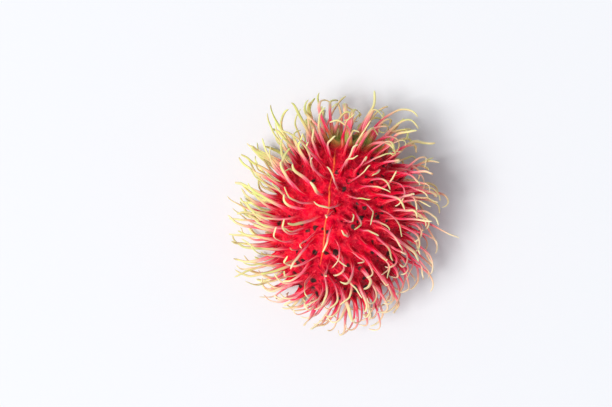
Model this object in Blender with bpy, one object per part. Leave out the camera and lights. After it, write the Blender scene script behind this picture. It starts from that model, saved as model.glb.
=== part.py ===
"""A rambutan, as picked, lying on its side.

The leathery rind and its soft spines grew as one piece, so the fruit is one solid. It lies along Y with
its stem end at +Y, and it rests at Z = 0 on a small flat spot of the rind around the origin. The seam
runs along the top, and the spines part there: they are combed outwards on both sides of it and curl
clockwise. Lengths are in metres.
"""

import math
import random

import bmesh
import bpy
import numpy as np
from mathutils import Quaternion, Vector, kdtree, noise

# Driving dimensions of the rind, without its spines
RIND_LENGTH = 0.0480
RIND_WIDTH = 0.0385
RIND_HEIGHT = 0.0370
STEM_END_TAPER = 0.04  # the stem end is this share slimmer than the middle, the tip as much fuller
REST_DEPTH = 0.0006  # how far the rind's underside is pressed flat

# The stem scar: a short woody stub where the fruit came off its stalk
STUB_RADIUS = 0.0019
STUB_HEIGHT = 0.0018
STUB_TAPER = 0.9  # its torn end's radius, as a share of its foot's
STUB_FOOT = 0.0003  # the rind rises this far to meet it

# Spines
ROOT_COUNT = 400
ROOT_JITTER = 0.018  # as a share of the rind's half sizes
SPINE_LENGTHS = (0.0105, 0.0200, 0.0145)  # shortest, longest and usual
TOP_SHORTENING = 0.20  # the spines that stand on top are this share shorter
BLOSSOM_SHORTENING = 0.12  # and so are those at the end away from the stem
STEM_LENGTHENING = 0.20  # those round the stem end are longer
SPINE_STEPS = 16  # straight steps in one spine's centreline
SPINE_RINGS = ((2, 0.00075), (8, 0.00044), (13, 0.00033), (16, 0.00024))  # centreline step and radius there

# How the spines lie. Combing and leaning are shares of a unit heading
COMBING = 0.65  # for the spines on top; those on the sides stand straight out
SEAM_PARTING = 0.3  # combing away from the seam, right beside it
END_COMBING = 0.6  # towards the nearer end
BACK_COMBING = 0.3  # away from the stem end, on the +X side only
SHARED_LEAN = 0.55  # in common with the neighbours, which makes tufts
TUFT_SPACING = 0.0167
OWN_LEAN = 0.28

# How they bend, clockwise seen from above. Turns are in radians over a whole spine
CURL = (0.1, 1.6, 0.6)  # least, most and usual
HOOK = (0.0, 2.9, 0.3)  # the same for the hooked outer part alone
HOOK_STARTS = (0.45, 0.80)
TURNING = 0.85  # share of the curl and the hook that a spine half-way along the fruit takes
TURNING_TO_RIGHT = 0.3  # more of it towards +X
TURNING_TO_STEM = -0.4
WILD_TURNING = 1.1  # and as much again round the stem end itself, every way
SIDE_WANDER = 0.45  # how far a turn's axis strays from upright, for the spines on the sides
TOP_WANDER = 1.1  # and for those on top
STEM_WANDER = 1.8  # and round the stem end, where they curl every way
SWAY = 3.2
SWAY_SPACING = 0.0087
DROOP = 0.25

# Room between the spines
SPINE_CLEARANCE = 0.00115  # between two centrelines, away from their roots
FREE_STEP = 4  # the steps below this one may lie close to a neighbour's
GROWTH_TRIES = 14
SEAM_X = -0.0042  # the seam runs over the top along this line
SEAM_HALF_GAP = 0.0016  # the roots keep this far from it
LOWEST_ROOT = 0.0009  # no spine grows from lower than this
FLOOR_GAP = 0.00075  # from the floor to the centreline of a spine that lies along it
RIND_GAP = 0.0013  # from the rind to the centreline of a spine that curls back over it

MERGE_DISTANCE = 0.00002
SHARP_ANGLE = math.radians(60)
SEED = 25  # not 0, which would differ from run to run

HALF = Vector((RIND_WIDTH / 2, RIND_LENGTH / 2, RIND_HEIGHT / 2))
CENTRE = Vector((0, 0, HALF.z - REST_DEPTH))


def clear_scene():
    for old in list(bpy.data.objects):
        bpy.data.objects.remove(old, do_unlink=True)


def rind_point(u):
    """The point of the whole, unflattened rind in the direction of the unit vector u."""
    taper = 1 - STEM_END_TAPER * u.y
    return CENTRE + Vector((HALF.x * taper * u.x, HALF.y * u.y, HALF.z * taper * u.z))


def rind_normal(point):
    offset = point - CENTRE
    return Vector((offset.x / HALF.x**2, offset.y / HALF.y**2, offset.z / HALF.z**2)).normalized()


def random_unit(draw):
    return Vector((draw.gauss(0, 1), draw.gauss(0, 1), draw.gauss(0, 1))).normalized()


def spine_roots(draw):
    """Roots on a loose golden-angle spiral about the long axis. The first is the stem's, at the pole."""
    golden_angle = math.pi * (3 - math.sqrt(5))
    seam = SEAM_X / HALF.x
    half_gap = SEAM_HALF_GAP / HALF.x
    roots = []
    for i in range(ROOT_COUNT):
        along = 1 - 2 * (i + 0.5) / ROOT_COUNT
        around = math.sqrt(1 - along * along)
        turn = golden_angle * i
        u = Vector((around * math.cos(turn), along, around * math.sin(turn)))
        u += ROOT_JITTER * random_unit(draw)
        if i == 0:
            u = Vector((0, 1, 0))
        elif u.z > 0 and abs(u.x - seam) < half_gap:
            u.x = seam + math.copysign(half_gap, u.x - seam)
        roots.append(rind_point(u.normalized()))
    return roots


def kept_outside(point, heading, step):
    """The point and heading, put right where a spine would run into the rind or through the floor."""
    offset = point - CENTRE
    shell = math.sqrt(sum((offset[i] / HALF[i]) ** 2 for i in range(3)))
    wanted = 1 + min(RIND_GAP, RIND_GAP * step / FREE_STEP) / HALF.z
    if shell < wanted:
        point = CENTRE + offset * (wanted / shell)
        normal = rind_normal(point)
        heading = heading - normal * min(0, heading.dot(normal))
    if point.z < FLOOR_GAP:
        point = Vector((point.x, point.y, FLOOR_GAP))
        heading = Vector((heading.x, heading.y, max(0, heading.z)))
    return point, heading.normalized()


def grown_spine(root, draw):
    """The centreline of one spine: combed away from the seam, curling clockwise and hooked at its tip."""
    normal = rind_normal(root)
    on_top = max(0, normal.z)
    from_seam = root.x - SEAM_X
    sideways = from_seam / HALF.x + math.copysign(SEAM_PARTING, from_seam)
    endways = END_COMBING * root.y / HALF.y - (BACK_COMBING if from_seam > 0 else 0)
    heading = normal + COMBING * on_top * Vector((sideways, endways, 0))
    heading += SHARED_LEAN * noise.noise_vector(root / TUFT_SPACING) + OWN_LEAN * random_unit(draw)
    heading.normalize()
    wildness = max(0, normal.y) ** 2
    length = (1 - TOP_SHORTENING * on_top) * (1 - BLOSSOM_SHORTENING * min(0, normal.y) ** 2)
    length *= (1 + STEM_LENGTHENING * wildness) * draw.triangular(*SPINE_LENGTHS)

    wander = SIDE_WANDER + (TOP_WANDER - SIDE_WANDER) * on_top
    wander += (STEM_WANDER - wander) * wildness
    axis = (Vector((0, 0, -1)) + wander * random_unit(draw)).normalized()
    turning = TURNING + TURNING_TO_RIGHT * normal.x + TURNING_TO_STEM * normal.y + WILD_TURNING * wildness
    curl = turning * draw.triangular(*CURL)
    hook = turning**2 * draw.triangular(*HOOK)
    hook_start = draw.uniform(*HOOK_STARTS)
    points = [root]
    for step in range(1, SPINE_STEPS + 1):
        share = step / SPINE_STEPS
        sway = SWAY * share * noise.noise_vector(points[-1] / SWAY_SPACING)
        turn = curl + (hook / (1 - hook_start) if share > hook_start else 0)
        bend = sway + turn * axis.cross(heading) - Vector((0, 0, DROOP))
        heading = (heading + bend / SPINE_STEPS).normalized()
        point, heading = kept_outside(points[-1] + heading * length / SPINE_STEPS, heading, step)
        points.append(point)
    return points


def grown_spines(roots, draw):
    """One centreline for each root, grown clear of those before it, or None where no spine grows."""
    taken = np.empty((0, 3))
    spines = [None]
    for root in roots[1:]:
        if root.z < LOWEST_ROOT:
            spines.append(None)
            continue
        best, best_room = None, -1.0
        for _ in range(GROWTH_TRIES):
            spine = grown_spine(root, draw)
            free = np.array([tuple(p) for p in spine[FREE_STEP:]])
            apart = np.linalg.norm(free[:, None] - taken[None], axis=2)
            room = float(apart.min()) if len(taken) else SPINE_CLEARANCE
            if room > best_room:
                best, best_room = spine, room
            if room >= SPINE_CLEARANCE:
                break
        taken = np.vstack([taken, [tuple(p) for p in best[FREE_STEP:]]])
        spines.append(best)
    return spines


def layout():
    """The roots of the spines and their centrelines, the same on every run."""
    noise.seed_set(SEED)
    draw = random.Random(SEED)
    roots = spine_roots(draw)
    return roots, grown_spines(roots, draw)


def rind_mesh(roots):
    """The rind as a mesh with one flat cell around each root, cut off flat where it rests."""
    bm = bmesh.new()
    for root in roots:
        bm.verts.new(root)
    bmesh.ops.convex_hull(bm, input=bm.verts[:])
    bmesh.ops.bevel(
        bm,
        geom=bm.verts[:],
        offset=50,
        offset_type="PERCENT",  # so that neighbouring cells meet half-way
        segments=1,
        profile=0.5,
        affect="VERTICES",
        clamp_overlap=False,
        material=-1,
    )
    bmesh.ops.remove_doubles(bm, verts=bm.verts[:], dist=MERGE_DISTANCE)
    whole = bm.verts[:] + bm.edges[:] + bm.faces[:]
    bmesh.ops.bisect_plane(bm, geom=whole, plane_co=(0, 0, 0), plane_no=(0, 0, -1), clear_outer=True)
    bmesh.ops.holes_fill(bm, edges=[edge for edge in bm.edges if edge.is_boundary], sides=0)
    bmesh.ops.recalc_face_normals(bm, faces=bm.faces[:])
    return bm


def cell_of_each_root(bm, roots):
    """For each root the face around it, or None where the flat spot has cut that face away."""
    centres = kdtree.KDTree(len(bm.faces))
    faces = bm.faces[:]
    for i, face in enumerate(faces):
        centres.insert(face.calc_center_median(), i)
    centres.balance()
    cells = []
    for root in roots:
        face = faces[centres.find(root)[1]]
        untouched = min(vert.co.z for vert in face.verts) > REST_DEPTH / 2
        cells.append(face if untouched else None)
    return cells


def extruded(bm, face):
    """The new end face of a face pushed out by nothing, ready to be placed."""
    return bmesh.ops.extrude_discrete_faces(bm, faces=[face])["faces"][0]


def even_spokes(face, facing, centre):
    """One direction for each of the face's corners, evenly spaced round its facing."""
    first = (face.verts[0].co - centre).normalized()
    count = len(face.verts)
    return [Quaternion(facing, 2 * math.pi * i / count) @ first for i in range(count)]


def place_ring(face, spokes, facing, centre, heading, radius):
    """Sets the face's corners round a centre, square to the heading and each along its own spoke."""
    turn = facing.rotation_difference(heading)
    for vert, spoke in zip(face.verts, spokes):
        vert.co = centre + radius * (turn @ spoke)


def narrowed(bm, face):
    """The face with neighbouring corners joined, so that three are left."""
    corners = list(face.verts)
    groups = [i * 3 // len(corners) for i in range(len(corners))]
    kept = [corners[groups.index(group)] for group in range(3)]
    joined = {vert: kept[group] for vert, group in zip(corners, groups) if vert is not kept[group]}
    bmesh.ops.weld_verts(bm, targetmap=joined)
    return bm.faces.get(kept)


def add_spine(bm, cell, centreline):
    """A three-sided tapering spine that grows out of all of its cell."""
    facing = cell.normal.copy()
    centre = cell.calc_center_median()
    face = narrowed(bm, extruded(bm, cell))
    spokes = even_spokes(face, facing, centre)
    for ring, (step, radius) in enumerate(SPINE_RINGS):
        heading = (centreline[step] - centreline[step - 1]).normalized()
        if ring:
            face = extruded(bm, face)
        place_ring(face, spokes, facing, centreline[step], heading, radius)


def add_stem_stub(bm, cell):
    """The stub that the stalk left, on the stem end's own cell."""
    facing = cell.normal.copy()
    centre = cell.calc_center_median()
    face = extruded(bm, cell)
    spokes = even_spokes(face, facing, centre)
    place_ring(face, spokes, facing, centre + STUB_FOOT * facing, facing, STUB_RADIUS)
    face = extruded(bm, face)
    place_ring(face, spokes, facing, centre + STUB_HEIGHT * facing, facing, STUB_TAPER * STUB_RADIUS)


def rind_material():
    """Fresh red rind: leathery, a little waxy."""
    material = bpy.data.materials.new("red_rind")
    material.use_nodes = True
    shader = material.node_tree.nodes["Principled BSDF"]
    shader.inputs["Base Color"].default_value = (0.78, 0.02, 0.04, 1)
    shader.inputs["Roughness"].default_value = 0.45
    shader.inputs["Metallic"].default_value = 0.0
    return material


def fruit():
    roots, spines = layout()
    bm = rind_mesh(roots)
    cells = cell_of_each_root(bm, roots)
    add_stem_stub(bm, cells[0])
    for cell, spine in zip(cells[1:], spines[1:]):
        if cell is not None and spine is not None:
            add_spine(bm, cell, spine)
    bmesh.ops.recalc_face_normals(bm, faces=bm.faces[:])
    mesh = bpy.data.meshes.new("fruit")
    bm.to_mesh(mesh)
    bm.free()
    mesh.materials.append(rind_material())
    mesh.shade_smooth()
    mesh.set_sharp_from_angle(angle=SHARP_ANGLE)
    obj = bpy.data.objects.new("fruit", mesh)
    bpy.context.scene.collection.objects.link(obj)


clear_scene()
fruit()
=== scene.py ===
import math
import random

import bmesh
import bpy
import numpy as np
from mathutils import Matrix, Quaternion, Vector, kdtree, noise
from mathutils.bvhtree import BVHTree


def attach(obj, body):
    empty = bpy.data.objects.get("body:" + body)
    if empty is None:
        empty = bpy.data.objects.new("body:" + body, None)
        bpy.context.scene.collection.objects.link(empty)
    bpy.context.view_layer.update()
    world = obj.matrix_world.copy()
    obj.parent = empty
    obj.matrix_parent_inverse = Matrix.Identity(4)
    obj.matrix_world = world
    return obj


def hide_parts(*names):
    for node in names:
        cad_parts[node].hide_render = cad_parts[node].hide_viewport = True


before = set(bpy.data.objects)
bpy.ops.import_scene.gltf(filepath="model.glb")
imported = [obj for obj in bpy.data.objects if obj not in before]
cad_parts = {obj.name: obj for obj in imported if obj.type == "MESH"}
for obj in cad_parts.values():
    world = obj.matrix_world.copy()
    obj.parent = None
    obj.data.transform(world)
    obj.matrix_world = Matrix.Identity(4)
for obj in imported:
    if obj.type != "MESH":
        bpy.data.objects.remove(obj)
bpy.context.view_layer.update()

# sizes are in metres

body = {
    "length": 0.0480,
    "width": 0.0385,
    "height": 0.0370,
    "stemEndTaper": 0.04,
    "restDepth": 0.0006,
    "seed": 25,
}

growth = {
    "roots": 400,
    "jitter": 0.018,
    "lengths": (0.0105, 0.0200, 0.0145),  # shortest, longest, usual
    "topShortening": 0.20,
    "blossomShortening": 0.12,
    "stemLengthening": 0.20,
    "steps": 16,  # straight steps in a centreline
    # combing and leaning, as shares of a unit heading
    "combing": 0.65,  # of the spines on top, away from the seam
    "seamParting": 0.3,
    "endCombing": 0.6,
    "backCombing": 0.3,  # away from the stem end, right of the seam
    "sharedLean": 0.55,  # in common with the neighbours, which makes tufts
    "tuftSpacing": 0.0167,
    "ownLean": 0.28,
    # turns, in radians over a whole spine: least, most, usual
    "curl": (0.1, 1.6, 0.6),
    "hook": (0.0, 2.9, 0.3),
    "hookStarts": (0.45, 0.80),  # shares of the way along a spine
    # what both turns are scaled by, and how that changes with the place on the rind
    "turning": 0.85,
    "turningToRight": 0.3,
    "turningToStem": -0.4,
    "wildTurning": 1.1,  # as much again round the stem end, every way
    # how far a turn's axis strays from upright
    "sideWander": 0.45,
    "topWander": 1.1,
    "stemWander": 1.8,
    # smooth bending in common with the neighbours, and a pull towards the ground
    "sway": 3.2,
    "swaySpacing": 0.0087,
    "droop": 0.25,
    # the room a spine keeps from the others, the seam, the floor and the rind
    "clearance": 0.00115,
    "freeStep": 4,  # steps from the root before a spine has to be clear
    "tries": 14,
    "seamX": -0.0042,
    "seamHalfGap": 0.0016,
    "lowestRoot": 0.0009,
    "floorGap": 0.00075,
    "rindGap": 0.0013,
}

half = Vector((body["width"] / 2, body["length"] / 2, body["height"] / 2))
centre = Vector((0, 0, half.z - body["restDepth"]))


def rindPoint(u):
    taper = 1 - body["stemEndTaper"] * u.y
    return centre + Vector((half.x * taper * u.x, half.y * u.y, half.z * taper * u.z))


def rindNormal(point):
    offset = point - centre
    return Vector((offset.x / half.x**2, offset.y / half.y**2, offset.z / half.z**2)).normalized()


def randomUnit(draw):
    return Vector((draw.gauss(0, 1), draw.gauss(0, 1), draw.gauss(0, 1))).normalized()


# roots on a loose golden-angle spiral about the long axis, the first one at the stem end
def spineRoots(draw):
    goldenAngle = math.pi * (3 - math.sqrt(5))
    seamShare = growth["seamX"] / half.x
    halfGap = growth["seamHalfGap"] / half.x
    roots = []
    for i in range(growth["roots"]):
        along = 1 - 2 * (i + 0.5) / growth["roots"]
        around = math.sqrt(1 - along * along)
        turn = goldenAngle * i
        u = Vector((around * math.cos(turn), along, around * math.sin(turn)))
        u += growth["jitter"] * randomUnit(draw)
        if i == 0:
            u = Vector((0, 1, 0))
        elif u.z > 0 and abs(u.x - seamShare) < halfGap:
            u.x = seamShare + math.copysign(halfGap, u.x - seamShare)
        roots.append(rindPoint(u.normalized()))
    return roots


def keptOutside(point, heading, step):
    offset = point - centre
    shell = math.sqrt(sum((offset[i] / half[i]) ** 2 for i in range(3)))
    wanted = 1 + min(growth["rindGap"], growth["rindGap"] * step / growth["freeStep"]) / half.z
    if shell < wanted:
        point = centre + offset * (wanted / shell)
        normal = rindNormal(point)
        heading = heading - normal * min(0, heading.dot(normal))
    if point.z < growth["floorGap"]:
        point = Vector((point.x, point.y, growth["floorGap"]))
        heading = Vector((heading.x, heading.y, max(0, heading.z)))
    return point, heading.normalized()


# one spine's centreline: combed away from the seam, curling clockwise, hooked at its tip
def grownSpine(root, draw):
    normal = rindNormal(root)
    onTop = max(0, normal.z)
    fromSeam = root.x - growth["seamX"]
    sideways = fromSeam / half.x + math.copysign(growth["seamParting"], fromSeam)
    endways = growth["endCombing"] * root.y / half.y - (growth["backCombing"] if fromSeam > 0 else 0)
    heading = normal + growth["combing"] * onTop * Vector((sideways, endways, 0))
    shared = growth["sharedLean"] * noise.noise_vector(root / growth["tuftSpacing"])
    heading += shared + growth["ownLean"] * randomUnit(draw)
    heading.normalize()
    wildness = max(0, normal.y) ** 2
    towardsBlossom = min(0, normal.y)
    length = (1 - growth["topShortening"] * onTop) * (1 - growth["blossomShortening"] * towardsBlossom**2)
    length *= (1 + growth["stemLengthening"] * wildness) * draw.triangular(*growth["lengths"])

    wander = growth["sideWander"] + (growth["topWander"] - growth["sideWander"]) * onTop
    wander += (growth["stemWander"] - wander) * wildness
    axis = (Vector((0, 0, -1)) + wander * randomUnit(draw)).normalized()
    turning = growth["turning"] + growth["turningToRight"] * normal.x + growth["turningToStem"] * normal.y
    turning += growth["wildTurning"] * wildness
    curl = turning * draw.triangular(*growth["curl"])
    hook = turning**2 * draw.triangular(*growth["hook"])
    hookStart = draw.uniform(*growth["hookStarts"])
    points = [root]
    for step in range(1, growth["steps"] + 1):
        share = step / growth["steps"]
        sway = growth["sway"] * share * noise.noise_vector(points[-1] / growth["swaySpacing"])
        turn = curl + (hook / (1 - hookStart) if share > hookStart else 0)
        bend = sway + turn * axis.cross(heading) - Vector((0, 0, growth["droop"]))
        heading = (heading + bend / growth["steps"]).normalized()
        point, heading = keptOutside(points[-1] + heading * length / growth["steps"], heading, step)
        points.append(point)
    return points


# each spine is grown again, a few times if need be, until it clears the ones before it
def grownSpines(roots, draw):
    taken = np.empty((0, 3))
    spines = [None]
    for root in roots[1:]:
        if root.z < growth["lowestRoot"]:
            spines.append(None)  # squashed flat under the fruit
            continue
        best, bestRoom = None, -1.0
        for _ in range(growth["tries"]):
            spine = grownSpine(root, draw)
            free = np.array([tuple(p) for p in spine[growth["freeStep"]:]])
            apart = np.linalg.norm(free[:, None] - taken[None], axis=2)
            room = float(apart.min()) if len(taken) else growth["clearance"]
            if room > bestRoom:
                best, bestRoom = spine, room
            if room >= growth["clearance"]:
                break
        taken = np.vstack([taken, [tuple(p) for p in best[growth["freeStep"]:]]])
        spines.append(best)
    return spines


noise.seed_set(body["seed"])
layoutDraw = random.Random(body["seed"])
roots = spineRoots(layoutDraw)
spines = grownSpines(roots, layoutDraw)
print("layout:", sum(spine is not None for spine in spines), "spines")


def linear(hexColour):
    channels = [int(hexColour[i:i + 2], 16) / 255 for i in (1, 3, 5)]
    return tuple(c / 12.92 if c <= 0.04045 else ((c + 0.055) / 1.055) ** 2.4 for c in channels) + (1,)


# adds a node with its settings and its sockets, each a value or another node's output
# it gives back one of the node's outputs, and a colour mix has its colours at 6 and 7 and its result at 2
def addNode(tree, kind, settings=None, sockets=None, output=0):
    node = tree.nodes.new("ShaderNode" + kind)
    for name, value in (settings or {}).items():
        if name == "stops":
            ramp = node.color_ramp.elements
            ramp[-1].position = value[-1][0]
            ramp[0].position = value[0][0]
            between = [ramp.new(position) for position, _ in value[1:-1]]
            for element, (_, colour) in zip([ramp[0], *between, ramp[-1]], value):
                element.color = linear(colour)
        else:
            setattr(node, name, value)
    for name, value in (sockets or {}).items():
        if isinstance(value, bpy.types.NodeSocket):
            tree.links.new(value, node.inputs[name])
        else:
            node.inputs[name].default_value = value
    return node.outputs[output]


def newMaterial(name):
    material = bpy.data.materials.new(name)
    material.use_nodes = True
    tree = material.node_tree
    return material, tree, tree.nodes["Principled BSDF"]


skinLook = {
    "rindStops": ((0.34, "#7E001A"), (0.43, "#BA0026"), (0.53, "#EE0030"), (0.68, "#FF3434")),
    "spineStops": (
        (0.00, "#E60028"),
        (0.18, "#F01242"),
        (0.34, "#FA466F"),
        (0.50, "#FC888E"),
        (0.64, "#FCC8A4"),
        (0.80, "#FBE6B4"),
        (1.00, "#FDF4C6"),
    ),
    "greenTip": "#E0E884",
    "driedTip": "#9A6A34",
    "stemGreen": "#A0B856",
    "greenFrom": 0.0235,  # the flush round the stem end, along the axis from the middle
    "greenFull": 0.0275,
    "greenRagged": 0.006,
    "fleckShare": 0.4,
    "streakShare": 0.35,
    "streaksApart": 97.0,  # from one spine's streaks to another's
    "fadeExponents": (1.75, 0.50),  # of the reddest spines and the yellowest
    "spotStops": ((0.35, "#060505"), (0.70, "#34362F")),
    "spotSpacing": 0.0030,
    "spotRadii": (0.18, 0.38),  # as shares of the spacing
    "spotRagged": 0.0013,
    "spotChance": 0.72,
    "spotsToRight": 20.0,  # per metre
    "spotsToBlossom": 20.0,
    # painted shade: the rind darkens to the right, the side away from the key light, and towards both ends;
    # the paler left side is partly also the fruit's own sun flush
    "paintedShadeAndFlushToRight": 1.6,  # per metre
    "paintedShadeToEnds": 140.0,  # per square metre
    # pale pink lines from the palest streaks: partly the skin's own streaks, partly painted highlights along
    # the spines
    "paleStreakAndHighlight": "#FFC2BC",
    "streaks": (2.6, 2.6, 2.2),  # waves across a spine, both ways, and along it
    # painted glints: pale pink specks on the rind stand in for tiny highlights
    "glintPink": "#FF7C86",
    "cloudSize": 0.0055,
    "fleckSize": 0.0012,
    "grainSize": 0.0006,
}


# fresh rambutan rind: living leathery skin, anthocyanin red and waxy, its spines fading to yellow-green
def freshRindMaterial():
    look = skinLook
    material, tree, shader = newMaterial("freshWaxyRind")
    place = addNode(tree, "TexCoord", output="Object")
    places = addNode(tree, "SeparateXYZ", None, {"Vector": place}).node.outputs
    along = addNode(tree, "Attribute", {"attribute_name": "along"}, output="Fac")
    tint = addNode(tree, "Attribute", {"attribute_name": "tint"}, output="Fac")
    yellowing = addNode(tree, "Attribute", {"attribute_name": "yellowing"}, output="Fac")
    greening = addNode(tree, "Attribute", {"attribute_name": "greening"}, output="Fac")
    around = addNode(tree, "Attribute", {"attribute_name": "around"}, output="Vector")

    # streaks that run from the feet of the spines up along them
    spread = addNode(tree, "VectorMath", {"operation": "MULTIPLY"}, {0: around, 1: look["streaks"]})
    ownPlace = addNode(tree, "Math", {"operation": "MULTIPLY"}, {0: tint, 1: look["streaksApart"]})
    streaks = addNode(
        tree, "TexNoise", {"noise_dimensions": "4D"}, {"Vector": spread, "W": ownPlace, "Scale": 1.0}
    )

    # the rind between the spines: clouds of crimson and orange-red with finer flecks, with painted shade
    # that darkens them to the right and towards both ends, so they are palest in the middle
    cloudScale = 1 / look["cloudSize"]
    fleckScale = 1 / look["fleckSize"]
    clouds = addNode(tree, "TexNoise", None, {"Vector": place, "Scale": cloudScale, "Detail": 3.0})
    flecks = addNode(tree, "TexNoise", None, {"Vector": place, "Scale": fleckScale, "Detail": 4.0})
    mottle = addNode(
        tree, "Mix", {"data_type": "FLOAT"}, {"Factor": look["fleckShare"], "A": clouds, "B": flecks}
    )
    mottle = addNode(
        tree, "Mix", {"data_type": "FLOAT"}, {"Factor": look["streakShare"], "A": mottle, "B": streaks}
    )
    # painted shade: darker to the right, away from the key light, partly also the fruit's own sun-flushed
    # left side
    mottle = addNode(
        tree,
        "Math",
        {"operation": "MULTIPLY_ADD"},
        {0: places["X"], 1: -look["paintedShadeAndFlushToRight"], 2: mottle},
    )
    # painted shade: darker towards both ends
    ends = addNode(tree, "Math", {"operation": "MULTIPLY"}, {0: places["Y"], 1: places["Y"]})
    mottle = addNode(
        tree, "Math", {"operation": "MULTIPLY_ADD"}, {0: ends, 1: -look["paintedShadeToEnds"], 2: mottle}
    )
    rindColour = addNode(tree, "ValToRGB", {"stops": look["rindStops"]}, {"Fac": mottle})
    grainScale = 1 / look["grainSize"]
    grain = addNode(tree, "TexNoise", None, {"Vector": place, "Scale": grainScale, "Detail": 3.0})
    # painted glints: the peaks of the fine grain become pale pink specks that stand in for tiny highlights
    # on the waxy rind
    paintedGlints = addNode(
        tree, "MapRange", None, {"Value": grain, "From Min": 0.6, "From Max": 0.75, "To Max": 0.3}
    )
    glintPink = linear(look["glintPink"])
    glinted = addNode(tree, "Mix", {"data_type": "RGBA"}, {"Factor": paintedGlints, 6: rindColour, 7: glintPink}, 2)

    # a green flush round the stem end, with a ragged edge
    edge = addNode(
        tree,
        "Math",
        {"operation": "MULTIPLY_ADD"},
        {0: clouds, 1: look["greenRagged"], 2: places["Y"]},
    )
    nearStem = addNode(
        tree,
        "MapRange",
        {"interpolation_type": "SMOOTHSTEP"},
        {"Value": edge, "From Min": look["greenFrom"], "From Max": look["greenFull"], "To Max": 0.95},
    )
    green = linear(look["stemGreen"])
    flushed = addNode(tree, "Mix", {"data_type": "RGBA"}, {"Factor": nearStem, 6: glinted, 7: green}, 2)

    # a spine's own fade, which comes sooner on the yellower ones
    reddest, yellowest = look["fadeExponents"]
    exponent = addNode(
        tree,
        "Math",
        {"operation": "MULTIPLY_ADD"},
        {0: yellowing, 1: yellowest - reddest, 2: reddest},
    )
    faded = addNode(tree, "Math", {"operation": "POWER"}, {0: along, 1: exponent})
    spineColour = addNode(tree, "ValToRGB", {"stops": look["spineStops"]}, {"Fac": faded})
    outer = addNode(
        tree,
        "MapRange",
        {"interpolation_type": "SMOOTHSTEP"},
        {"Value": faded, "From Min": 0.45, "From Max": 0.85, "To Max": 0.9},
    )
    greens = addNode(tree, "Math", {"operation": "MULTIPLY"}, {0: outer, 1: greening})
    tipGreen = linear(look["greenTip"])
    greened = addNode(tree, "Mix", {"data_type": "RGBA"}, {"Factor": greens, 6: spineColour, 7: tipGreen}, 2)
    onSpine = addNode(
        tree,
        "MapRange",
        {"interpolation_type": "SMOOTHSTEP"},
        {"Value": along, "From Min": 0.03, "From Max": 0.30},
    )
    skinColour = addNode(tree, "Mix", {"data_type": "RGBA"}, {"Factor": onSpine, 6: flushed, 7: greened}, 2)

    # a few tips have dried
    nearTip = addNode(
        tree,
        "MapRange",
        {"interpolation_type": "SMOOTHSTEP"},
        {"Value": along, "From Min": 0.88, "From Max": 1.0},
    )
    driest = addNode(tree, "MapRange", None, {"Value": tint, "From Min": 0.87, "To Max": 0.8})
    dryShare = addNode(tree, "Math", {"operation": "MULTIPLY"}, {0: nearTip, 1: driest})
    brown = linear(look["driedTip"])
    tipped = addNode(tree, "Mix", {"data_type": "RGBA"}, {"Factor": dryShare, 6: skinColour, 7: brown}, 2)

    # dark bruised spots on the skin between the spines, more to the right and towards the blossom end
    ragged = addNode(
        tree,
        "TexNoise",
        None,
        {"Vector": place, "Scale": fleckScale, "Detail": 3.0},
        "Color",
    )
    shifted = addNode(
        tree,
        "VectorMath",
        {"operation": "MULTIPLY_ADD"},
        {0: ragged, 1: (look["spotRagged"],) * 3, 2: place},
    )
    spotScale = 1 / look["spotSpacing"]
    distance = addNode(tree, "TexVoronoi", None, {"Vector": shifted, "Scale": spotScale}, "Distance")
    chances = addNode(
        tree, "SeparateColor", None, {"Color": distance.node.outputs["Color"]}
    ).node.outputs
    radius = addNode(
        tree,
        "MapRange",
        None,
        {"Value": chances["Green"], "To Min": look["spotRadii"][0], "To Max": look["spotRadii"][1]},
    )
    inside = addNode(tree, "Math", {"operation": "SUBTRACT"}, {0: radius, 1: distance})
    spot = addNode(
        tree,
        "MapRange",
        {"interpolation_type": "SMOOTHSTEP"},
        {"Value": inside, "From Min": -0.03, "From Max": 0.05, "To Max": 0.95},
    )
    toRight = addNode(
        tree,
        "Math",
        {"operation": "MULTIPLY_ADD"},
        {0: places["X"], 1: look["spotsToRight"], 2: look["spotChance"]},
    )
    wanted = addNode(
        tree,
        "Math",
        {"operation": "MULTIPLY_ADD"},
        {0: places["Y"], 1: -look["spotsToBlossom"], 2: toRight},
    )
    chosen = addNode(tree, "Math", {"operation": "LESS_THAN"}, {0: chances["Red"], 1: wanted})
    offSpine = addNode(
        tree,
        "MapRange",
        {"interpolation_type": "SMOOTHSTEP"},
        {"Value": along, "From Min": 0.04, "From Max": 0.12, "To Min": 1.0, "To Max": 0.0},
    )
    spotShare = addNode(tree, "Math", {"operation": "MULTIPLY"}, {0: spot, 1: chosen})
    spotShare = addNode(tree, "Math", {"operation": "MULTIPLY"}, {0: spotShare, 1: offSpine})
    dark = addNode(tree, "ValToRGB", {"stops": look["spotStops"]}, {"Fac": flecks})
    spotted = addNode(tree, "Mix", {"data_type": "RGBA"}, {"Factor": spotShare, 6: tipped, 7: dark}, 2)

    # the palest streaks stand out as pale pink lines, partly the skin's own streaks and partly painted
    # highlights along the spines, more so on the spines
    lines = addNode(
        tree,
        "MapRange",
        {"interpolation_type": "SMOOTHSTEP"},
        {"Value": streaks, "From Min": 0.53, "From Max": 0.60},
    )
    strength = addNode(tree, "MapRange", None, {"Value": onSpine, "To Min": 0.05, "To Max": 0.65})
    lines = addNode(tree, "Math", {"operation": "MULTIPLY"}, {0: lines, 1: strength})
    pale = linear(look["paleStreakAndHighlight"])
    lined = addNode(tree, "Mix", {"data_type": "RGBA"}, {"Factor": lines, 6: spotted, 7: pale}, 2)

    # no two spines are the same shade
    streaked = addNode(tree, "Math", {"operation": "MULTIPLY_ADD"}, {0: streaks, 1: 1.0, 2: tint})
    shade = addNode(
        tree,
        "MapRange",
        None,
        {"Value": streaked, "From Min": 0.35, "From Max": 1.65, "To Min": 0.80, "To Max": 1.16},
    )
    shaded = addNode(tree, "HueSaturation", None, {"Value": shade, "Color": lined})
    tree.links.new(shaded, shader.inputs["Base Color"])

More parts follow.
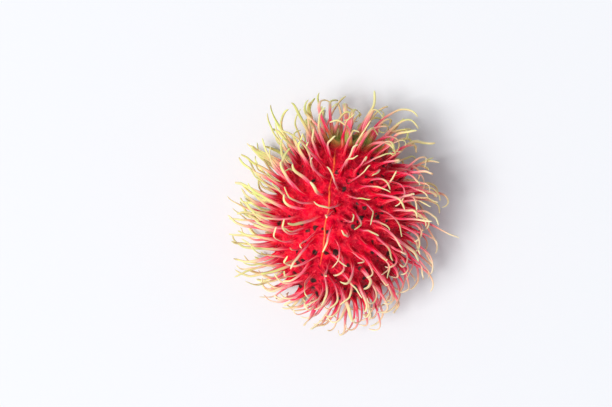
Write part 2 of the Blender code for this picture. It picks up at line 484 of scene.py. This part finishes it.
    # leathery grain and fine ribs, and a waxy sheen that breaks up with them
    relief = addNode(tree, "Mix", {"data_type": "FLOAT"}, {"Factor": onSpine, "A": grain, "B": streaks})
    bump = addNode(tree, "Bump", None, {"Height": relief, "Strength": 0.4, "Distance": 0.0002})
    tree.links.new(bump, shader.inputs["Normal"])
    matt = addNode(tree, "MapRange", None, {"Value": flecks, "To Min": 0.38, "To Max": 0.68})
    gloss = addNode(tree, "Math", {"operation": "MULTIPLY_ADD"}, {0: onSpine, 1: -0.18, 2: matt})
    tree.links.new(gloss, shader.inputs["Roughness"])
    shader.inputs["IOR"].default_value = 1.42
    shader.inputs["Specular IOR Level"].default_value = 0.12
    shader.inputs["Subsurface Weight"].default_value = 0.12
    shader.inputs["Subsurface Radius"].default_value = (1.0, 0.28, 0.16)
    shader.inputs["Subsurface Scale"].default_value = 0.0010
    return material


skin = {
    "cellShare": 44,  # per cent of the way to the next root that a spine's foot takes
    # step along the spine, radius there before the rounding takes a quarter off
    "rings": (
        (0.7, 0.00145),
        (1.8, 0.00092),
        (3.4, 0.00070),
        (5.4, 0.00059),
        (7.4, 0.00052),
        (9.2, 0.00047),
        (10.8, 0.00045),
        (12.3, 0.00043),
        (13.7, 0.00041),
        (15.2, 0.00036),
        (16.0, 0.00019),
    ),
    "corners": 4,
    "stoutness": (0.78, 1.25),
    "slimmerOnTop": 0.26,
    "stouterAtStem": 0.30,
    "stouterToLeft": 0.12,
    "ribbonShare": 0.35,
    "ribbonsToLeft": 0.25,
    "ribbonFlatness": (0.4, 1.0),  # 0 is a round spine
    "otherFlatness": (0, 0.25),
    "flatnessThins": 0.45,
    "flatnessWidens": 1.25,
    "headingReach": 0.6,  # steps to either side that a heading is taken over
    # a spine's own colours, as shares: the usual one, what its place adds, and how much it varies
    "yellowing": {"usual": 0.72, "toRight": -0.12, "toStem": 0.15, "onTop": -0.30, "toLeft": 0.18},
    "yellowingDrift": 0.6,
    "yellowingOwn": (-0.25, 0.2),
    "greening": {"usual": 0.45, "toRight": -0.35, "toStem": 0.45},
    "greeningDrift": 0.5,
    "greeningOwn": (-0.2, 0.2),
    "driftWaves": 90,  # per metre
    "footStreaks": -0.3,  # where along its streaks a spine's foot begins
    "kinkSpacing": 0.0027,
    "kinkDepth": 0.0009,
    "unevenness": 0.22,
    "unevenWaves": 700,  # per metre
    "hollowDepth": 0.00035,
    "bareBump": 0.00045,
    "bareRadius": 0.0012,
}


def pointAt(points, step):
    low = min(int(step), len(points) - 2)
    return points[low].lerp(points[low + 1], step - low)


def headingAt(points, step):
    reach = skin["headingReach"]
    ahead = pointAt(points, min(step + reach, len(points) - 1))
    return (ahead - pointAt(points, max(step - reach, 0))).normalized()


def extruded(bm, face):
    return bmesh.ops.extrude_discrete_faces(bm, faces=[face])["faces"][0]


def evenSpokes(face, facing, middle):
    first = (face.verts[0].co - middle).normalized()
    count = len(face.verts)
    return [Quaternion(facing, 2 * math.pi * i / count) @ first for i in range(count)]


# neighbouring corners are joined until a spine's own number is left
def narrowed(bm, face):
    corners = list(face.verts)
    wanted = min(skin["corners"], len(corners))
    groups = [i * wanted // len(corners) for i in range(len(corners))]
    kept = [corners[groups.index(group)] for group in range(wanted)]
    joined = {vert: kept[group] for vert, group in zip(corners, groups) if vert is not kept[group]}
    bmesh.ops.weld_verts(bm, targetmap=joined)
    return bm.faces.get(kept)


# the flatter a spine is, the more its ring is squeezed all round and stretched again in the wide direction
def placeRing(face, spokes, facing, middle, heading, radius, wide, ribbon):
    turn = facing.rotation_difference(heading)
    for vert, spoke in zip(face.verts, spokes):
        offset = turn @ spoke
        stretched = wide * offset.dot(wide) * skin["flatnessWidens"] * ribbon
        vert.co = middle + radius * (offset * (1 - skin["flatnessThins"] * ribbon) + stretched)


# how yellow a spine is, then how green, each from its place on the rind and a draw of its own
def spineColours(normal, drift, draw):
    yellow, green = skin["yellowing"], skin["greening"]
    yellowing = yellow["usual"] + yellow["toRight"] * normal.x + yellow["toStem"] * normal.y
    yellowing += yellow["onTop"] * max(0, normal.z) ** 2
    own = draw.uniform(*skin["yellowingOwn"])
    yellowing += yellow["toLeft"] * max(0, -normal.x) + skin["yellowingDrift"] * drift + own
    greening = green["usual"] + green["toRight"] * normal.x + green["toStem"] * normal.y
    greening += skin["greeningDrift"] * drift
    greening += draw.uniform(*skin["greeningOwn"])
    return min(1, max(0, yellowing)), min(1, max(0, greening))


def rindMesh():
    bm = bmesh.new()
    for root in roots:
        bm.verts.new(root)
    bmesh.ops.convex_hull(bm, input=bm.verts[:])
    bmesh.ops.bevel(
        bm,
        geom=bm.verts[:],
        offset=skin["cellShare"],
        offset_type="PERCENT",
        segments=1,
        profile=0.5,
        affect="VERTICES",
        clamp_overlap=False,
        material=-1,
    )
    bmesh.ops.recalc_face_normals(bm, faces=bm.faces[:])
    layers = {name: bm.verts.layers.float.new(name) for name in ("along", "tint", "yellowing", "greening")}
    aroundLayer = bm.verts.layers.float_vector.new("around")

    # the face around each root is its spine's foot, and the faces between are hollows
    faces = bm.faces[:]
    centres = kdtree.KDTree(len(faces))
    for i, face in enumerate(faces):
        centres.insert(face.calc_center_median(), i)
    centres.balance()
    cells = [faces[centres.find(root)[1]] for root in roots]
    hollows = list(set(faces) - set(cells))
    hollows.sort(key=lambda face: tuple(face.calc_center_median()))

    draw = random.Random(5)
    for cell, root, points in zip(cells, roots, spines):
        normal = rindNormal(root)
        tint = draw.random()
        yellowing, greening = spineColours(normal, noise.noise(root * skin["driftWaves"]), draw)
        facing = cell.normal.copy()
        middle = cell.calc_center_median()
        first = cell.verts[0].co - middle
        for vert in cell.verts:
            outwards = vert.co - middle
            angle = math.atan2(facing.dot(first.cross(outwards)), first.dot(outwards))
            vert[aroundLayer] = (math.cos(angle), math.sin(angle), skin["footStreaks"])
            vert[layers["tint"]] = tint
            vert[layers["yellowing"]] = yellowing
            vert[layers["greening"]] = greening
        face = narrowed(bm, extruded(bm, cell))
        spokes = evenSpokes(face, facing, middle)
        if points is None:  # squashed flat, or the stem end
            foot = middle + skin["bareBump"] * facing
            placeRing(face, spokes, facing, foot, facing, skin["bareRadius"], facing, 0)
            continue
        flat = draw.random() < skin["ribbonShare"] - skin["ribbonsToLeft"] * normal.x
        ribbon = draw.uniform(*skin["ribbonFlatness" if flat else "otherFlatness"])
        stoutness = draw.uniform(*skin["stoutness"]) * (1 - skin["slimmerOnTop"] * max(0, normal.z))
        stoutness *= 1 + skin["stouterAtStem"] * max(0, normal.y) ** 2
        stoutness *= 1 + skin["stouterToLeft"] * max(0, -normal.x)
        for ring, (step, radius) in enumerate(skin["rings"]):
            heading = headingAt(points, step)
            wide = heading.cross(normal).normalized()
            share = step / growth["steps"]
            if ring:
                face = extruded(bm, face)
            onLine = pointAt(points, step)
            if ring > 1:
                uneven = skin["unevenness"] * noise.noise(onLine * skin["unevenWaves"])
                radius *= stoutness * (1 + uneven)
            kink = noise.noise_vector(onLine / skin["kinkSpacing"])
            middle = onLine + share * skin["kinkDepth"] * kink
            middle.z = max(middle.z, radius)
            placeRing(face, spokes, facing, middle, heading, radius, wide, ribbon * min(1, 2 * share))
            for corner, vert in enumerate(face.verts):
                angle = 2 * math.pi * corner / len(face.verts)
                vert[layers["along"]] = share
                vert[aroundLayer] = (math.cos(angle), math.sin(angle), share)

    poked = bmesh.ops.poke(bm, faces=hollows)
    for vert in poked["verts"]:
        vert.co -= skin["hollowDepth"] * rindNormal(vert.co)
        vert[layers["tint"]] = draw.random()

    for vert in bm.verts:
        vert.co.z = max(0, vert.co.z)  # pressed flat where it rests
    bmesh.ops.recalc_face_normals(bm, faces=bm.faces[:])
    return bm


def pieceFrom(bm, name, material, subdivisions):
    mesh = bpy.data.meshes.new(name)
    bm.to_mesh(mesh)
    bm.free()
    mesh.materials.append(material)
    mesh.shade_smooth()
    piece = bpy.data.objects.new(name, mesh)
    bpy.context.scene.collection.objects.link(piece)
    if subdivisions:
        modifier = piece.modifiers.new("rounding", "SUBSURF")
        modifier.levels = subdivisions
        modifier.render_levels = subdivisions
    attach(piece, "root")
    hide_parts("fruit")
    return piece


rind = pieceFrom(rindMesh(), "rindAndSpines", freshRindMaterial(), 1)
rindCorners = sum(len(face.vertices) for face in rind.data.polygons)
print("rind and spines:", len(rind.data.polygons), "faces,", 2 * rindCorners, "triangles once rounded")


scar = {
    "radius": 0.0019,
    "height": 0.0018,
    "sides": 18,
    "rises": ((0.35, 0.80), (0.85, 0.93), (1.0, 1.02)),  # share of the height, share of the radius
    "footSpread": 1.25,  # share of the radius
    "raggedSpread": (0.95, 1.05),
    "raggedRise": (0.94, 1.0),
    "rim": 0.0004,
    "slope": 0.0003,  # from the rim down into the hollow
    "hollow": 0.0004,
    "sunk": 0.0004,
    "barkStops": ((0.3, "#5C4A28"), (0.5, "#857546"), (0.7, "#A9A066")),
    "fibreWidth": 0.0004,
}


# dried stalk wood: grey-brown and fibrous, torn off short
def driedStalkMaterial():
    material, tree, shader = newMaterial("driedStalkWood")
    place = addNode(tree, "TexCoord", output="Object")
    fibres = addNode(tree, "Mapping", None, {"Vector": place, "Scale": (1, 0.25, 1)})
    fibreScale = 1 / scar["fibreWidth"]
    grain = addNode(tree, "TexNoise", None, {"Vector": fibres, "Scale": fibreScale, "Detail": 4.0})
    colour = addNode(tree, "ValToRGB", {"stops": scar["barkStops"]}, {"Fac": grain})
    tree.links.new(colour, shader.inputs["Base Color"])
    bump = addNode(tree, "Bump", None, {"Height": grain, "Strength": 0.6, "Distance": 0.0002})
    tree.links.new(bump, shader.inputs["Normal"])
    shader.inputs["Roughness"].default_value = 0.85
    return material


def scarMesh():
    bm = bmesh.new()
    draw = random.Random(9)
    footRadius = scar["footSpread"] * scar["radius"]
    bmesh.ops.create_circle(bm, cap_ends=True, radius=footRadius, segments=scar["sides"])
    face = next(iter(bm.faces))
    for rise, spread in scar["rises"]:
        face = extruded(bm, face)
        for vert in face.verts:
            outwards = Vector((vert.co.x, vert.co.y, 0)).normalized()
            vert.co = outwards * spread * scar["radius"] * draw.uniform(*scar["raggedSpread"])
            vert.co.z = rise * scar["height"] * draw.uniform(*scar["raggedRise"])
    bmesh.ops.inset_region(bm, faces=[face], thickness=scar["rim"], depth=0)
    bmesh.ops.inset_region(bm, faces=[face], thickness=scar["slope"], depth=-scar["hollow"])
    bmesh.ops.holes_fill(bm, edges=[edge for edge in bm.edges if edge.is_boundary])
    bmesh.ops.recalc_face_normals(bm, faces=bm.faces[:])
    pole = roots[0] - Vector((0, scar["sunk"], 0))
    upright = Matrix.Translation(pole) @ Matrix.Rotation(-math.pi / 2, 4, "X")
    bmesh.ops.transform(bm, matrix=upright, verts=bm.verts[:])
    return bm


stalkScar = pieceFrom(scarMesh(), "stalkScar", driedStalkMaterial(), 1)
print("stalk scar:", len(stalkScar.data.polygons), "faces")


seam = {
    "from": (-0.0046, 0.0200),
    "to": (-0.0040, -0.0150),
    "points": 60,
    "thickness": 0.00032,
    "wobble": 0.0006,
    "wobbleWaves": 160,  # per metre
    "finerWobble": 0.3,  # share of the wobble
    "finerWaves": 700,
    "endTaper": 12,  # each end tapers over a twelfth of the length
    "beading": 0.2,
    "beadWaves": 19,
    "stops": ((0.35, "#F04A2C"), (0.6, "#FF7636")),
    "fleckSize": 0.0008,
}


# the rind's suture, a thin raised line of paler, orange skin
def sutureMaterial():
    material, tree, shader = newMaterial("orangeSuture")
    place = addNode(tree, "TexCoord", output="Object")
    fleckScale = 1 / seam["fleckSize"]
    flecks = addNode(tree, "TexNoise", None, {"Vector": place, "Scale": fleckScale, "Detail": 3.0})
    colour = addNode(tree, "ValToRGB", {"stops": seam["stops"]}, {"Fac": flecks})
    tree.links.new(colour, shader.inputs["Base Color"])
    shader.inputs["Roughness"].default_value = 0.45
    return material


# a rounded cord laid along the top of the rind and half sunk in it
def seamMesh():
    rindTree = BVHTree.FromObject(rind, bpy.context.evaluated_depsgraph_get())
    path = bpy.data.curves.new("seamPath", "CURVE")
    path.dimensions = "3D"
    path.bevel_depth = seam["thickness"]
    path.bevel_resolution = 2
    path.use_fill_caps = True
    spline = path.splines.new("POLY")
    spline.points.add(seam["points"] - 1)
    for i, point in enumerate(spline.points):
        share = i / (seam["points"] - 1)
        x, y = Vector(seam["from"]).lerp(Vector(seam["to"]), share)
        x += seam["wobble"] * noise.noise(Vector((y * seam["wobbleWaves"], 0.3, 0)))
        finer = seam["finerWobble"] * seam["wobble"]
        x += finer * noise.noise(Vector((y * seam["finerWaves"], 2.3, 0)))
        hit = rindTree.ray_cast(Vector((x, y, centre.z)), Vector((0, 0, 1)))[0]
        point.co = (x, y, hit.z, 1)
        tapered = min(1, seam["endTaper"] * share, seam["endTaper"] * (1 - share))
        beads = 1 - seam["beading"] + seam["beading"] * math.sin(seam["beadWaves"] * share)
        point.radius = tapered * beads
    holder = bpy.data.objects.new("seamPath", path)
    bpy.context.scene.collection.objects.link(holder)
    bm = bmesh.new()
    bm.from_mesh(holder.evaluated_get(bpy.context.evaluated_depsgraph_get()).to_mesh())
    bpy.data.objects.remove(holder)
    return bm


suture = pieceFrom(seamMesh(), "suture", sutureMaterial(), 0)
print("suture:", len(suture.data.polygons), "faces")


studio = {
    "floorColour": "#E8E9EB",
    "floorReach": 12.0,  # fills the frame in all but the lowest views
    "floorDrop": 0.0001,  # below the fruit's flat spot
    "sky": "#F3F6FF",
    "skyStrength": 0.38,
    "keyPower": 345.0,
    "keyPlace": (-2.60, -1.35, 5.20),
    "keySize": 2.10,
}

viewpoint = {
    "lens": 85.0,
    "sensor": 36.0,
    "frameWidth": 0.1836,  # what the frame takes in at the fruit's middle height
    "lean": math.radians(8.8),  # how far the fruit's axis leans to the right of upright
    "fruitRight": 0.0102,  # the fruit's middle, right of the frame's
    "fruitDown": 0.0044,
}


# matt white paper sweep
def paperMaterial():
    material, tree, shader = newMaterial("whitePaper")
    shader.inputs["Base Color"].default_value = linear(studio["floorColour"])
    shader.inputs["Roughness"].default_value = 0.9
    shader.inputs["Specular IOR Level"].default_value = 0.2
    return material


def setStudio():
    bm = bmesh.new()
    bmesh.ops.create_grid(bm, x_segments=1, y_segments=1, size=studio["floorReach"])
    mesh = bpy.data.meshes.new("floor")
    bm.to_mesh(mesh)
    bm.free()
    mesh.materials.append(paperMaterial())
    floor = bpy.data.objects.new("floor", mesh)
    floor.location.z = -studio["floorDrop"]
    bpy.context.scene.collection.objects.link(floor)

    world = bpy.data.worlds.new("studioSky")
    world.use_nodes = True
    background = world.node_tree.nodes["Background"]
    background.inputs["Color"].default_value = linear(studio["sky"])
    background.inputs["Strength"].default_value = studio["skyStrength"]
    bpy.context.scene.world = world

    light = bpy.data.lights.new("softKey", "AREA")
    light.shape = "SQUARE"
    light.size = studio["keySize"]
    light.energy = studio["keyPower"]
    key = bpy.data.objects.new("softKey", light)
    key.location = studio["keyPlace"]
    key.rotation_euler = (centre - key.location).to_track_quat("-Z", "Y").to_euler()
    bpy.context.scene.collection.objects.link(key)
    bpy.context.scene.view_settings.view_transform = "Standard"


def setCamera():
    data = bpy.data.cameras.new("overhead")
    data.lens = viewpoint["lens"]
    data.sensor_width = viewpoint["sensor"]
    data.clip_start = 0.01
    above = viewpoint["frameWidth"] * viewpoint["lens"] / viewpoint["sensor"]
    lean = viewpoint["lean"]
    right = Vector((math.cos(lean), math.sin(lean), 0))
    up = Vector((-math.sin(lean), math.cos(lean), 0))
    camera = bpy.data.objects.new("overhead", data)
    aside = viewpoint["fruitDown"] * up - viewpoint["fruitRight"] * right
    camera.location = centre + aside + Vector((0, 0, above))
    camera.rotation_euler = (0, 0, lean)
    bpy.context.scene.collection.objects.link(camera)
    bpy.context.scene.camera = camera


setStudio()
setCamera()
print("studio: floor, key light and camera")
